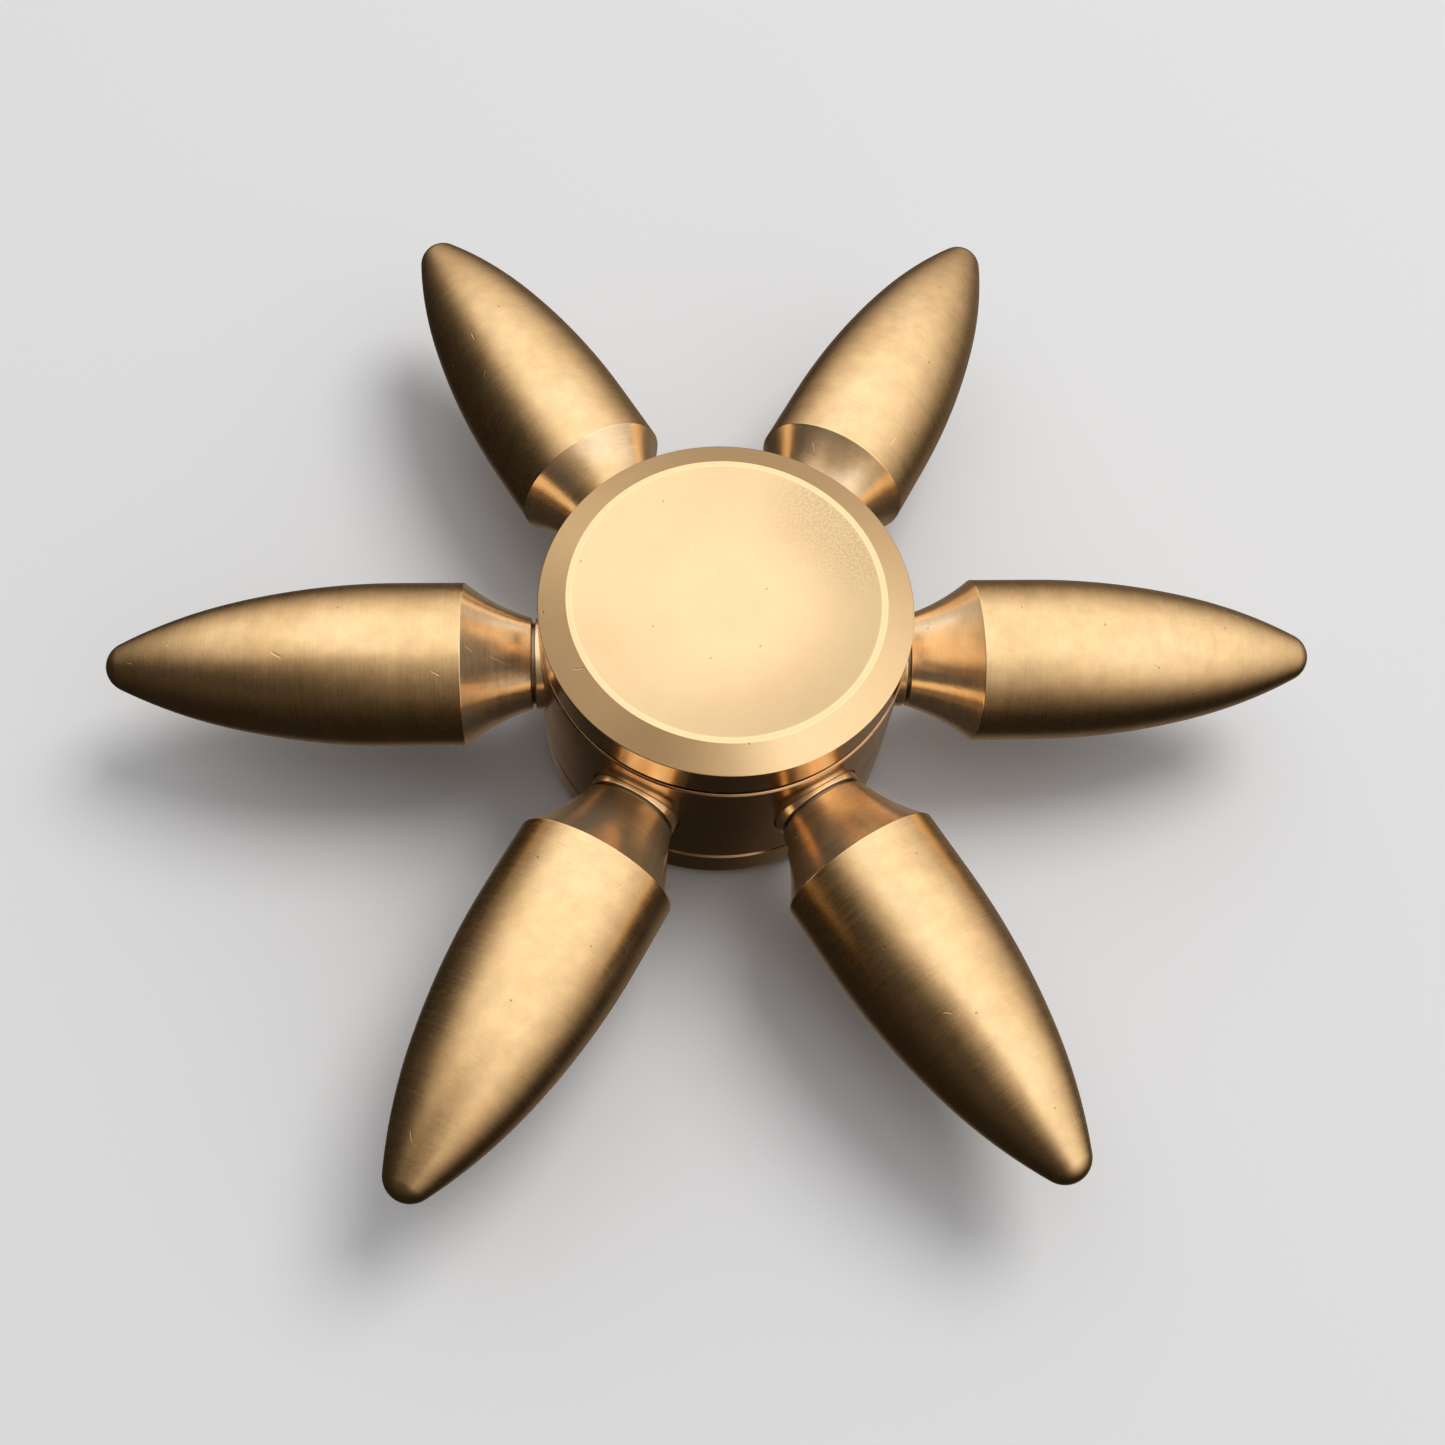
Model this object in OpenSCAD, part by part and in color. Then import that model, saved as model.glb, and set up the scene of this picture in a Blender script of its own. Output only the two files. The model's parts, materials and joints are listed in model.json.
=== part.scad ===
// Six-arm finger spinner in turned brass, lying on its lower finger cap.
// The origin is on the table under the spin axis. +Z is the spin axis, and +X runs along the first arm.
// The two caps are screwed together through the inner ring of a small ball bearing and stand still
// between finger and thumb, while the hub ring and its bullet-shaped arms turn on the outer ring.

/* [Overall] */
// Distance across the spinner, from the tip of one arm to the tip of the arm opposite
tip_span = 70; // [60:1:90]
// Number of arms around the hub
arm_count = 6; // [3:1:6]

/* [Hub ring] */
// Outside diameter of the hub ring
hub_d = 20.8; // [17:0.1:26]
// Height of the hub ring
hub_h = 8.8; // [7:0.1:12]
// Size of the chamfer round the hub ring's outer edges
hub_edge = 0.15; // [0.05:0.05:0.4]
// Width of the shoulder that the bearing sits down on
bearing_shoulder = 0.55; // [0.2:0.05:0.6]
// Wall left between a stud hole and the bearing seat
stud_wall = 0.35; // [0.2:0.05:0.8]

/* [Finger caps] */
// Outside diameter of a finger cap
cap_d = 20.7; // [17:0.1:26]
// Height of a cap's disc, outside the hub
cap_h = 3; // [2.2:0.1:5]
// Gap between a cap and the hub ring that turns under it
cap_gap = 0.3; // [0.15:0.05:0.8]
// Width of the sloping rim, measured along the radius
rim_w = 1.53; // [0.5:0.01:2.5]
// Height of the sloping rim
rim_h = 0.8; // [0.3:0.05:1.5]
// Width of the flat lip between the rim and the dish
lip_w = 0.35; // [0.15:0.05:1]
// Depth of the finger dish at its centre
dish_depth = 0.5; // [0.2:0.05:1]
// Size of the chamfer round the cap's lower edge
cap_edge = 0.15; // [0.05:0.05:0.4]
// Diameter of the screw that joins the two caps
cap_screw_d = 4; // [3:0.1:4.8]
// Length of the cap screw below the upper cap's spigot
cap_screw_l = 4.4; // [3:0.1:5.2]

/* [Bearing] */
// Bore of the bearing's inner ring
bearing_bore = 6.35; // [5.6:0.05:6.8]
// Outside diameter of the bearing
bearing_od = 12.7; // [12:0.05:15.3]
// Width of the bearing
bearing_w = 4.762; // [3.9:0.01:5.8]
// Diameter of a bearing ball
ball_d = 1.588; // [1.3:0.01:2]
// Number of bearing balls
ball_count = 10; // [6:1:10]
// Depth of the ball grooves below the shoulders of the two rings
groove_depth = 0.28; // [0.15:0.01:0.35]
// Radius of the ball grooves, as a multiple of the ball's diameter
groove_conformity = 0.52; // [0.51:0.01:0.6]
// Size of the chamfer round the bearing rings' corners
ring_edge = 0.2; // [0.05:0.05:0.3]
// Height of the cage's fingers above the ball centres
cage_finger = 0.4; // [0.2:0.05:0.6]
// Thickness of the cage's ring below the balls
cage_floor = 0.4; // [0.2:0.05:0.6]
// Thickness of a shield
shield_t = 0.2; // [0.1:0.05:0.25]
// Thickness of the snap ring that holds a shield
snap_t = 0.2; // [0.1:0.05:0.25]
// Depth of the snap ring below the bearing's face
snap_inset = 0.05; // [0.03:0.01:0.1]
// Wall of the outer ring outside its shields
shield_rim = 0.45; // [0.3:0.05:0.5]
// How far a snap ring springs into its groove
snap_bite = 0.12; // [0.05:0.01:0.15]
// Width of a snap ring, measured along the radius
snap_w = 0.5; // [0.3:0.05:0.6]
// Angle of the opening in a snap ring
snap_opening = 24; // [10:1:60]

/* [Arms] */
// Diameter of an arm at its shoulder, where it is widest
arm_d = 9.4; // [7.8:0.1:11.3]
// Distance from the hub ring's outside to an arm's shoulder
neck_l = 4.3; // [2.5:0.1:5.5]
// Length of the straight stretch behind the tapering nose
straight_l = 3.8; // [1:0.1:5]
// Radius of the rounded nose
nose_r = 1.8; // [1:0.1:3]
// Radius of the hollow curve from collar to shoulder
flare_r = 11.3; // [6:0.1:30]
// Diameter of the collar that seats in the hub ring
collar_d = 5.3; // [4.2:0.1:6.4]
// How far the collar stands out of the hub ring
collar_proud = 0.45; // [0.2:0.05:0.8]
// Depth of the flat-bottomed seat that the collar goes into
seat_depth = 0.9; // [0.6:0.1:1.2]
// Width of the groove turned next to the collar
neck_groove_w = 0.2; // [0.1:0.05:0.4]
// Depth of the groove turned next to the collar
neck_groove_depth = 0.3; // [0.1:0.05:0.5]
// Diameter of the threaded stud that screws into the hub ring
stud_d = 3; // [2.5:0.1:3.6]

/* [Clearances] */
// Radial clearance of a screw in its threaded hole
thread_clear = 0.03; // [0.02:0.01:0.1]
// Radial clearance of a seat or spigot that stays still once fitted
seat_clear = 0.01; // [0.01:0.01:0.05]
// Radial gap that shows between a collar and the wall of its seat
collar_clear = 0.08; // [0.03:0.01:0.15]
// Clearance of a ball in its grooves
ball_clear = 0.015; // [0.01:0.005:0.03]
// Clearance of a ball in its cage pocket
pocket_clear = 0.05; // [0.03:0.01:0.1]
// Radial gap between the cage and the rings' shoulders
cage_clear = 0.15; // [0.1:0.01:0.2]
// Radial gap between a shield and the inner ring
shield_clear = 0.12; // [0.08:0.01:0.2]
// Space left beyond the end of a screw in its blind hole
end_clear = 0.2; // [0.1:0.05:0.4]

/* [Hidden] */
$fn = 96;
brass = "#c9a063";
bright_brass = "#ddb778";
steel = "#b9bcc0";
dark_steel = "#8e9196";

// heights, measured from the plane that the arms lie in
mid_z = hub_h / 2 + cap_gap + cap_h;
cap_under = hub_h / 2 + cap_gap;
bearing_half = bearing_w / 2;
eps = 0.01;

// radii of the hub and the arms
hub_r = hub_d / 2;
tip_r = tip_span / 2;
collar_x0 = hub_r - seat_depth;
collar_x1 = hub_r + collar_proud;
flare_x = collar_x1 + neck_groove_w;
shoulder_x = hub_r + neck_l;
taper_x = shoulder_x + straight_l;
nose_x = tip_r - nose_r;
stud_x = bearing_od / 2 + stud_wall + end_clear;

// radius of the arc that runs level off the straight stretch and meets the nose without a corner
taper_l = nose_x - taper_x;
taper_r = (taper_l ^ 2 + (arm_d / 2) ^ 2 - nose_r ^ 2) / (arm_d - 2 * nose_r);

// radii of the bearing
ball_r = ball_d / 2;
pitch_r = (bearing_bore + bearing_od) / 4;
groove_r = ball_d * groove_conformity;
inner_track_r = pitch_r - ball_r - ball_clear;
outer_track_r = pitch_r + ball_r + ball_clear;
inner_land_r = inner_track_r + groove_depth;
outer_land_r = outer_track_r - groove_depth;
shield_seat_r = bearing_od / 2 - shield_rim;
snap_z = bearing_half - snap_inset - snap_t;
shield_z = snap_z - shield_t;
boss_r = inner_land_r - shield_clear;

// Lifts a piece drawn about the plane of the arms to its height above the table.
module at_mid() translate([0, 0, mid_z]) children();

// Turns a piece drawn for the upper side over to the lower side.
module lower_side() mirror([0, 0, 1]) children();

// A round bar between two heights.
module bar(r, z0, z1) translate([0, 0, z0]) cylinder(r = r, h = z1 - z0);

// A ring between two heights.
module ring(r_out, r_in, z0, z1) difference() {
    bar(r_out, z0, z1);
    bar(r_in, z0 - 1, z1 + 1);
}

// A round bar between two heights, with a 45 degree chamfer at each end.
module chamfered_bar(r, z0, z1, low, high) rotate_extrude() polygon([
    [0, z0], [r - low, z0], [r, z0 + low], [r, z1 - high], [r - high, z1], [0, z1]
]);

// Disc of a finger cap: lower edge chamfer, side wall, sloping rim, flat lip and round dish.
module cap_disc() {
    r = cap_d / 2;
    top = cap_under + cap_h;
    lip_r = r - rim_w;
    dish_r = lip_r - lip_w;
    dish_ball = (dish_r ^ 2 + dish_depth ^ 2) / (2 * dish_depth);
    difference() {
        rotate_extrude() polygon([
            [0, cap_under], [r - cap_edge, cap_under], [r, cap_under + cap_edge],
            [r, top - rim_h], [lip_r, top], [0, top]
        ]);
        translate([0, 0, top - dish_depth + dish_ball]) sphere(r = dish_ball);
    }
}

// Boss that stands on the inner ring, and the spigot that centres the cap in the ring's bore.
module cap_boss() {
    bar(boss_r, bearing_half, cap_under + eps);
    bar(bearing_bore / 2 - seat_clear, end_clear / 2, bearing_half + eps);
}

module top_cap() color(bright_brass) at_mid() {
    cap_disc();
    cap_boss();
    bar(cap_screw_d / 2, end_clear / 2 - cap_screw_l, end_clear);
}

module bottom_cap() color(bright_brass) at_mid() difference() {
    lower_side() union() {
        cap_disc();
        cap_boss();
    }
    bar(cap_screw_d / 2 + thread_clear, -end_clear / 2 - cap_screw_l, 1);
}

module hub_ring() color(brass) at_mid() difference() {
    chamfered_bar(hub_r, -hub_h / 2, hub_h / 2, hub_edge, hub_edge);
    bar(bearing_od / 2 + seat_clear, -bearing_half, hub_h);
    bar(bearing_od / 2 - bearing_shoulder, -hub_h, hub_h);
    for (i = [1:arm_count]) along_arm(i) {
        bar(collar_d / 2 + collar_clear, collar_x0, hub_r + 1);
        bar(stud_d / 2 + thread_clear, stud_x - end_clear, hub_r);
    }
}

// Lays a piece drawn standing on the spin axis out along an arm.
module along_arm(i) rotate([0, 90, (i - 1) * 360 / arm_count]) children();

// Outline of the hollow curve: what is left of a block under an arc of flare_r.
module flare_outline() {
    run = shoulder_x - flare_x;
    rise = (arm_d - collar_d) / 2;
    chord = norm([run, rise]);
    lift = sqrt(flare_r ^ 2 - (chord / 2) ^ 2);
    centre = [
        (arm_d + collar_d) / 4 + lift * run / chord,
        (shoulder_x + flare_x) / 2 - lift * rise / chord
    ];
    difference() {
        translate([0, flare_x]) square([arm_d / 2, run]);
        translate(centre) circle(r = flare_r, $fn = 180);
    }
}

// Outline of the tapering nose: a long arc that flows into a small round tip.
module nose_outline() {
    join_x = taper_x + taper_l * taper_r / (taper_r - nose_r);
    intersection() {
        translate([arm_d / 2 - taper_r, taper_x]) circle(r = taper_r, $fn = 720);
        translate([0, taper_x]) square([arm_d / 2, join_x - taper_x]);
    }
    intersection() {
        translate([0, nose_x]) circle(r = nose_r);
        translate([0, nose_x]) square([nose_r, nose_r]);
    }
}

module bullet_arm(i) color(brass) at_mid() along_arm(i) {
    bar(stud_d / 2, stud_x, collar_x0 + eps);
    bar(collar_d / 2, collar_x0, collar_x1);
    bar(collar_d / 2 - neck_groove_depth, collar_x1 - eps, flare_x + eps);
    rotate_extrude() {
        flare_outline();
        translate([0, shoulder_x]) square([arm_d / 2, straight_l]);
        nose_outline();
    }
}

// Groove that the balls run in, round a ring.
module ball_groove(centre_r) rotate_extrude() translate([centre_r, 0]) circle(r = groove_r);

module bearing_inner_ring() color(steel) at_mid() difference() {
    chamfered_bar(inner_land_r, -bearing_half, bearing_half, ring_edge / 2, ring_edge / 2);
    bar(bearing_bore / 2, -bearing_w, bearing_w);
    ball_groove(inner_track_r + groove_r);
}

module bearing_outer_ring() color(steel) at_mid() difference() {
    chamfered_bar(bearing_od / 2, -bearing_half, bearing_half, ring_edge, ring_edge);
    bar(outer_land_r, -bearing_w, bearing_w);
    ball_groove(outer_track_r - groove_r);
    for (side = [0, 1]) mirror([0, 0, side]) {
        bar(shield_seat_r, shield_z, bearing_w);
        bar(shield_seat_r + snap_bite, snap_z, snap_z + snap_t);
    }
}

module shield() ring(shield_seat_r - seat_clear, inner_land_r + shield_clear, shield_z, snap_z);
module shield_top() color(steel) at_mid() shield();
module shield_bottom() color(steel) at_mid() lower_side() shield();

module snap_ring() {
    r = shield_seat_r + snap_bite - seat_clear;
    half = snap_opening / 2;
    difference() {
        ring(r, r - snap_w, snap_z, snap_z + snap_t);
        linear_extrude(bearing_w) polygon([
            [0, 0], bearing_od * [cos(half), -sin(half)], bearing_od * [cos(half), sin(half)]
        ]);
    }
}
module snap_ring_top() color(dark_steel) at_mid() snap_ring();
module snap_ring_bottom() color(dark_steel) at_mid() lower_side() snap_ring();

// Turns a piece drawn at the first ball's place round to another ball.
module at_ball(i) rotate([0, 0, (i - 1) * 360 / ball_count]) translate([pitch_r, 0, 0]) children();

module bearing_cage() color(dark_steel) at_mid() difference() {
    ring(
        outer_land_r - cage_clear, inner_land_r + cage_clear,
        -ball_r - pocket_clear - cage_floor, cage_finger
    );
    for (i = [1:ball_count]) at_ball(i) sphere(r = ball_r + pocket_clear, $fn = 48);
}

module ball(i) color(steel) at_mid() at_ball(i) sphere(r = ball_r, $fn = 48);

top_cap();
bottom_cap();
hub_ring();
for (i = [1:arm_count]) bullet_arm(i);
bearing_inner_ring();
bearing_outer_ring();
bearing_cage();
for (i = [1:ball_count]) ball(i);
shield_top();
shield_bottom();
snap_ring_top();
snap_ring_bottom();
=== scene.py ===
import json
import math

import bpy
from mathutils import Matrix, Vector


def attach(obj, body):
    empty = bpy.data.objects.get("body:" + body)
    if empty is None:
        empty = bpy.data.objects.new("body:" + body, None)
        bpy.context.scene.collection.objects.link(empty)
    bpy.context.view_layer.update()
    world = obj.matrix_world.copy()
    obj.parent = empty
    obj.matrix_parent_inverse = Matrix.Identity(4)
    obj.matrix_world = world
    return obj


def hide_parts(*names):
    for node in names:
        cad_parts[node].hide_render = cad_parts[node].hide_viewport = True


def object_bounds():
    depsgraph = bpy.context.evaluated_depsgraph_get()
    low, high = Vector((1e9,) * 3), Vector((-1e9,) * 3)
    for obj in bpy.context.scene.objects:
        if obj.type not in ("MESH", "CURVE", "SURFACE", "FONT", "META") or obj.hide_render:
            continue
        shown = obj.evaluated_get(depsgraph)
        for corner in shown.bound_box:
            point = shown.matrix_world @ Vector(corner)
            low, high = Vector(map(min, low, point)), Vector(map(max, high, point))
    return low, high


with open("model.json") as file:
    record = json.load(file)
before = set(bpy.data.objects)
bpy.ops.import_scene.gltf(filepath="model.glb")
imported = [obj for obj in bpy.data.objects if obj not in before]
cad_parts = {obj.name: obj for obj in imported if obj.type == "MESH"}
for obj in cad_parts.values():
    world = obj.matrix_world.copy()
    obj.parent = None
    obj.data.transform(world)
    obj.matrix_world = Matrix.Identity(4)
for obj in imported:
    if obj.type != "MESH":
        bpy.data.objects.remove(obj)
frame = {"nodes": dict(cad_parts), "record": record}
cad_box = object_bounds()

# ---------------------------------------------------------------- camera
# The spinner is seen from the front and well above, from about a hand's breadth away, so that the
# near arms look larger than the far ones. The camera is turned a little about its own line of sight.
SENSOR_MM = 36.0
LENS_MM = 44.0
CAMERA_AZIMUTH = math.radians(-9.0)
CAMERA_ELEVATION = math.radians(64.2)
CAMERA_ROLL = math.radians(7.5)
CAMERA_DISTANCE = 0.1013
AIM_IN_FRONT_OF_AXIS = 0.0039
NEAREST_SEEN = 0.002
FARTHEST_SEEN = 20

low, high = (Vector(corner) for corner in cad_box)
mid_height = (low.z + high.z) / 2
toward_camera = Vector((
    math.sin(CAMERA_AZIMUTH) * math.cos(CAMERA_ELEVATION),
    -math.cos(CAMERA_AZIMUTH) * math.cos(CAMERA_ELEVATION),
    math.sin(CAMERA_ELEVATION),
))
level = Vector((math.cos(CAMERA_AZIMUTH), math.sin(CAMERA_AZIMUTH), 0))
turned_right = Matrix.Rotation(CAMERA_ROLL, 3, toward_camera) @ level
turned_up = toward_camera.cross(turned_right)

camera_data = bpy.data.cameras.new("camera")
camera_data.sensor_width = SENSOR_MM
camera_data.lens = LENS_MM
camera_data.clip_start = NEAREST_SEEN
camera_data.clip_end = FARTHEST_SEEN
camera = bpy.data.objects.new("camera", camera_data)
camera_turn = Matrix((turned_right, turned_up, toward_camera)).transposed().to_4x4()
aim = Vector((0, -AIM_IN_FRONT_OF_AXIS, mid_height))
camera.matrix_world = Matrix.Translation(aim + toward_camera * CAMERA_DISTANCE) @ camera_turn
bpy.context.scene.collection.objects.link(camera)
bpy.context.scene.camera = camera

# ---------------------------------------------------------------- bullet arms
# Six arms turned from brass bar, each in one piece: a threaded stud, a collar that seats in the hub,
# a fine groove, a hollow flare up to a sharp shoulder, and a long nose like a bullet's. The outside is
# satin from fine turning, and handling has left small pits and scratches on it.
MM = 0.001
SAME_POINT = 1e-7
ARM_R = 4.7
NOSE_ARC = 28.0
TIP_R = 1.47
TIP_LEAN = math.radians(26.9)
COLLAR_R = 2.65
FLARE_ARC = 11.3
STUD_R = 1.5
STUD_X = 6.9
COLLAR_X = 9.5
COLLAR_END_X = 10.64
GROOVE_W = 0.22
GROOVE_R = COLLAR_R - 0.3
FLARE_X = COLLAR_END_X + GROOVE_W
SHOULDER_X = 14.7
TAPER_X = 18.5
TIP_X = 35.0
# how far the painted shade in the groove reaches up its walls and past its corners
GROOVE_SHADE_HEIGHT = 0.1
GROOVE_SHADE_OVERLAP = 0.02
ARM_STEPS = 144


def rounded(corners, arc_steps=4, guard=0.04, longest=0.5):
    """Outline through (radius, height, rounding) corners in mm, as (radius, height, wear) points.

    Wear is 1 on a rounded corner, where handling rubs the brass bright, and 0 elsewhere. The arms later set
    it to -1 in their groove, which paints shade there.
    """
    line = []
    last = len(corners) - 1
    for k, (r, z, rounding) in enumerate(corners):
        here = Vector((r, z))
        if rounding == 0 or k in (0, last):
            line.append((r, z, 0.0))
            continue
        back = (Vector(corners[k - 1][:2]) - here).normalized()
        ahead = (Vector(corners[k + 1][:2]) - here).normalized()
        half = back.angle(ahead) / 2
        reach = rounding / math.tan(half)
        centre = here + (back + ahead).normalized() * rounding / math.sin(half)
        start, stop = here + back * reach, here + ahead * reach
        line.append((*(start + back * guard), 0.0))
        sweep = (start - centre).angle_signed(stop - centre)
        for step in range(arc_steps + 1):
            spoke = (start - centre).copy()
            spoke.rotate(Matrix.Rotation(-sweep * step / arc_steps, 2))
            line.append((*(centre + spoke), 1.0))
        line.append((*(stop + ahead * guard), 0.0))
    filled = [line[0]]
    for point in line[1:]:
        before = filled[-1]
        gap = math.dist(before[:2], point[:2])
        pieces = max(1, math.ceil(gap / longest))
        for step in range(1, pieces + 1):
            share = step / pieces
            filled.append(tuple(a + (b - a) * share for a, b in zip(before, point)))
    return filled


def arc(centre, radius, start, stop, steps):
    """Corners along an arc, as (radius, height, no rounding), from one angle to another."""
    angles = [start + (stop - start) * k / steps for k in range(steps + 1)]
    return [(centre[0] + radius * math.cos(a), centre[1] + radius * math.sin(a), 0) for a in angles]


def add(tree, kind, inputs=(), **settings):
    """Adds a node, sets it up, and fills its inputs with values or links."""
    made = tree.nodes.new(kind)
    for name, value in settings.items():
        setattr(made, name, value)
    for key, value in dict(inputs).items():
        sockets = [s for s in made.inputs if s.enabled and key in (s.name, s.identifier)]
        socket = made.inputs[key] if isinstance(key, int) else sockets[0]
        if isinstance(value, bpy.types.NodeSocket):
            tree.links.new(value, socket)
        else:
            socket.default_value = value
    return made


def make_lathe():
    """Geometry Nodes tree that turns a wire outline (radius on X, height on Z) about the Z axis.

    The grid's points are numbered ring by ring, so a point's number gives its outline point and its angle.
    """
    tree = bpy.data.node_groups.new("lathe", "GeometryNodeTree")
    face = tree.interface
    face.new_socket("Outline", in_out="INPUT", socket_type="NodeSocketGeometry")
    face.new_socket("Steps", in_out="INPUT", socket_type="NodeSocketInt")
    face.new_socket("Lay over", in_out="INPUT", socket_type="NodeSocketFloat")
    face.new_socket("Turn", in_out="INPUT", socket_type="NodeSocketFloat")
    face.new_socket("Lift", in_out="INPUT", socket_type="NodeSocketFloat")
    face.new_socket("Finish", in_out="INPUT", socket_type="NodeSocketMaterial")
    face.new_socket("Piece", in_out="OUTPUT", socket_type="NodeSocketGeometry")
    given = add(tree, "NodeGroupInput").outputs
    points = add(tree, "GeometryNodeAttributeDomainSize", {"Geometry": given["Outline"]})
    around = add(tree, "ShaderNodeMath", {0: given["Steps"], 1: 1.0}, operation="ADD").outputs[0]
    grid = add(tree, "GeometryNodeMeshGrid", {
        "Size X": 1.0, "Size Y": 1.0, "Vertices X": points.outputs["Point Count"], "Vertices Y": around,
    })

    # each grid point's outline point (along) and its step round the axis
    index = add(tree, "GeometryNodeInputIndex").outputs[0]
    ratio = add(tree, "ShaderNodeMath", {0: index, 1: around}, operation="DIVIDE").outputs[0]
    just_over = 1e-4
    ratio = add(tree, "ShaderNodeMath", {0: ratio, 1: just_over}, operation="ADD").outputs[0]
    along = add(tree, "ShaderNodeMath", {0: ratio}, operation="FLOOR").outputs[0]
    skipped = add(tree, "ShaderNodeMath", {0: along, 1: around}, operation="MULTIPLY").outputs[0]
    step = add(tree, "ShaderNodeMath", {0: index, 1: skipped}, operation="SUBTRACT").outputs[0]
    share = add(tree, "ShaderNodeMath", {0: step, 1: given["Steps"]}, operation="DIVIDE").outputs[0]
    angle = add(tree, "ShaderNodeMath", {0: share, 1: math.tau}, operation="MULTIPLY").outputs[0]
    cosine = add(tree, "ShaderNodeMath", {0: angle}, operation="COSINE").outputs[0]
    sine = add(tree, "ShaderNodeMath", {0: angle}, operation="SINE").outputs[0]

    def sampled(kind, field):
        return add(tree, "GeometryNodeSampleIndex", {
            "Geometry": given["Outline"], "Value": field, "Index": along,
        }, data_type=kind).outputs[0]

    # the point's place, and what the finish needs to know about it
    place = add(tree, "GeometryNodeInputPosition").outputs[0]
    place = add(tree, "ShaderNodeSeparateXYZ", {0: sampled("FLOAT_VECTOR", place)}).outputs
    x = add(tree, "ShaderNodeMath", {0: place["X"], 1: cosine}, operation="MULTIPLY").outputs[0]
    y = add(tree, "ShaderNodeMath", {0: place["X"], 1: sine}, operation="MULTIPLY").outputs[0]
    spot = add(tree, "ShaderNodeCombineXYZ", {"X": x, "Y": y, "Z": place["Z"]}).outputs[0]
    geometry = add(tree, "GeometryNodeSetPosition", {"Geometry": grid.outputs["Mesh"], "Position": spot})
    geometry = geometry.outputs[0]
    wear_and_shade = add(tree, "GeometryNodeInputNamedAttribute", {"Name": "wear_and_shade"}, data_type="FLOAT").outputs[0]
    run = add(tree, "GeometryNodeInputNamedAttribute", {"Name": "run"}, data_type="FLOAT").outputs[0]
    run = sampled("FLOAT", run)
    turning = add(tree, "ShaderNodeCombineXYZ", {"X": run, "Y": cosine, "Z": sine}).outputs[0]
    unrolled = add(tree, "ShaderNodeCombineXYZ", {"X": share, "Y": run}).outputs[0]
    zone = add(tree, "GeometryNodeInputNamedAttribute", {"Name": "zone"}, data_type="FLOAT").outputs[0]
    for name, kind, domain, value in (
        ("wear_and_shade", "FLOAT", "POINT", sampled("FLOAT", wear_and_shade)),
        ("zone", "FLOAT", "POINT", sampled("FLOAT", zone)),
        ("turning", "FLOAT_VECTOR", "POINT", turning),
        ("UVMap", "FLOAT2", "CORNER", unrolled),
    ):
        geometry = add(tree, "GeometryNodeStoreNamedAttribute", {
            "Geometry": geometry, "Name": name, "Value": value,
        }, data_type=kind, domain=domain).outputs[0]

    # close the seam and the poles, turn the faces outwards, and put the piece in its place
    geometry = add(tree, "GeometryNodeMergeByDistance", {
        "Geometry": geometry, "Distance": SAME_POINT,
    }).outputs[0]
    geometry = add(tree, "GeometryNodeFlipFaces", {"Mesh": geometry}).outputs[0]
    bearing = add(tree, "ShaderNodeCombineXYZ", {"Y": given["Lay over"], "Z": given["Turn"]}).outputs[0]
    raised = add(tree, "ShaderNodeCombineXYZ", {"Z": given["Lift"]}).outputs[0]
    geometry = add(tree, "GeometryNodeTransform", {
        "Geometry": geometry, "Rotation": bearing, "Translation": raised,
    }).outputs[0]
    geometry = add(tree, "GeometryNodeSetShadeSmooth", {"Geometry": geometry}).outputs[0]
    geometry = add(tree, "GeometryNodeRealizeInstances", {"Geometry": geometry}).outputs[0]
    geometry = add(tree, "GeometryNodeSetMaterial", {
        "Geometry": geometry, "Material": given["Finish"],
    }).outputs[0]
    add(tree, "NodeGroupOutput", {"Piece": geometry})
    return tree


lathe = make_lathe()


def turn(name, outline, steps, finish, second_zone=lambda r, z: False, lay_over=0.0, turn_to=0.0):
    """A closed piece turned from an outline, lifted to the height of the plane that the arms lie in.

    The points where second_zone(radius, height) is true get the piece's second finish.
    """
    wire = bpy.data.meshes.new(name + "_outline")
    edges = [(k, k + 1) for k in range(len(outline) - 1)]
    wire.from_pydata([(r * MM, 0, z * MM) for r, z, _ in outline], edges, [])
    run = [0.0]
    for before, after in zip(outline, outline[1:]):
        run.append(run[-1] + math.dist(before[:2], after[:2]))
    zone = [float(second_zone(r, z)) for r, z, _ in outline]
    for label, values in (("wear_and_shade", [p[2] for p in outline]), ("run", run), ("zone", zone)):
        wire.attributes.new(label, "FLOAT", "POINT").data.foreach_set("value", values)
    blank = bpy.data.objects.new(name + "_blank", wire)
    bpy.context.scene.collection.objects.link(blank)
    spinning = blank.modifiers.new("lathe", "NODES")
    spinning.node_group = lathe
    sizes = {"Steps": steps, "Lay over": lay_over, "Turn": turn_to, "Lift": mid_height, "Finish": finish}
    for socket in lathe.interface.items_tree:
        if socket.name in sizes:
            spinning[socket.identifier] = sizes[socket.name]
    bpy.context.view_layer.update()
    graph = bpy.context.evaluated_depsgraph_get()
    mesh = bpy.data.meshes.new_from_object(blank.evaluated_get(graph))
    mesh.name = name
    bpy.data.objects.remove(blank)
    piece = bpy.data.objects.new(name, mesh)
    bpy.context.scene.collection.objects.link(piece)
    return piece


def step_down(tree, value, near, far):
    """One where a value is under the first limit, nothing past the second, and smooth between."""
    return add(tree, "ShaderNodeMapRange", {
        "Value": value, "From Min": near, "From Max": far, "To Min": 1.0, "To Max": 0.0,
    }, interpolation_type="SMOOTHSTEP").outputs[0]


def stretched(tree, noise, lowest, highest):
    """A noise, most of which lies between 0.3 and 0.7, stretched to run between two values."""
    return add(tree, "ShaderNodeMapRange", {
        "Value": noise, "From Min": 0.3, "From Max": 0.7, "To Min": lowest, "To Max": highest,
    }).outputs[0]


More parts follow.
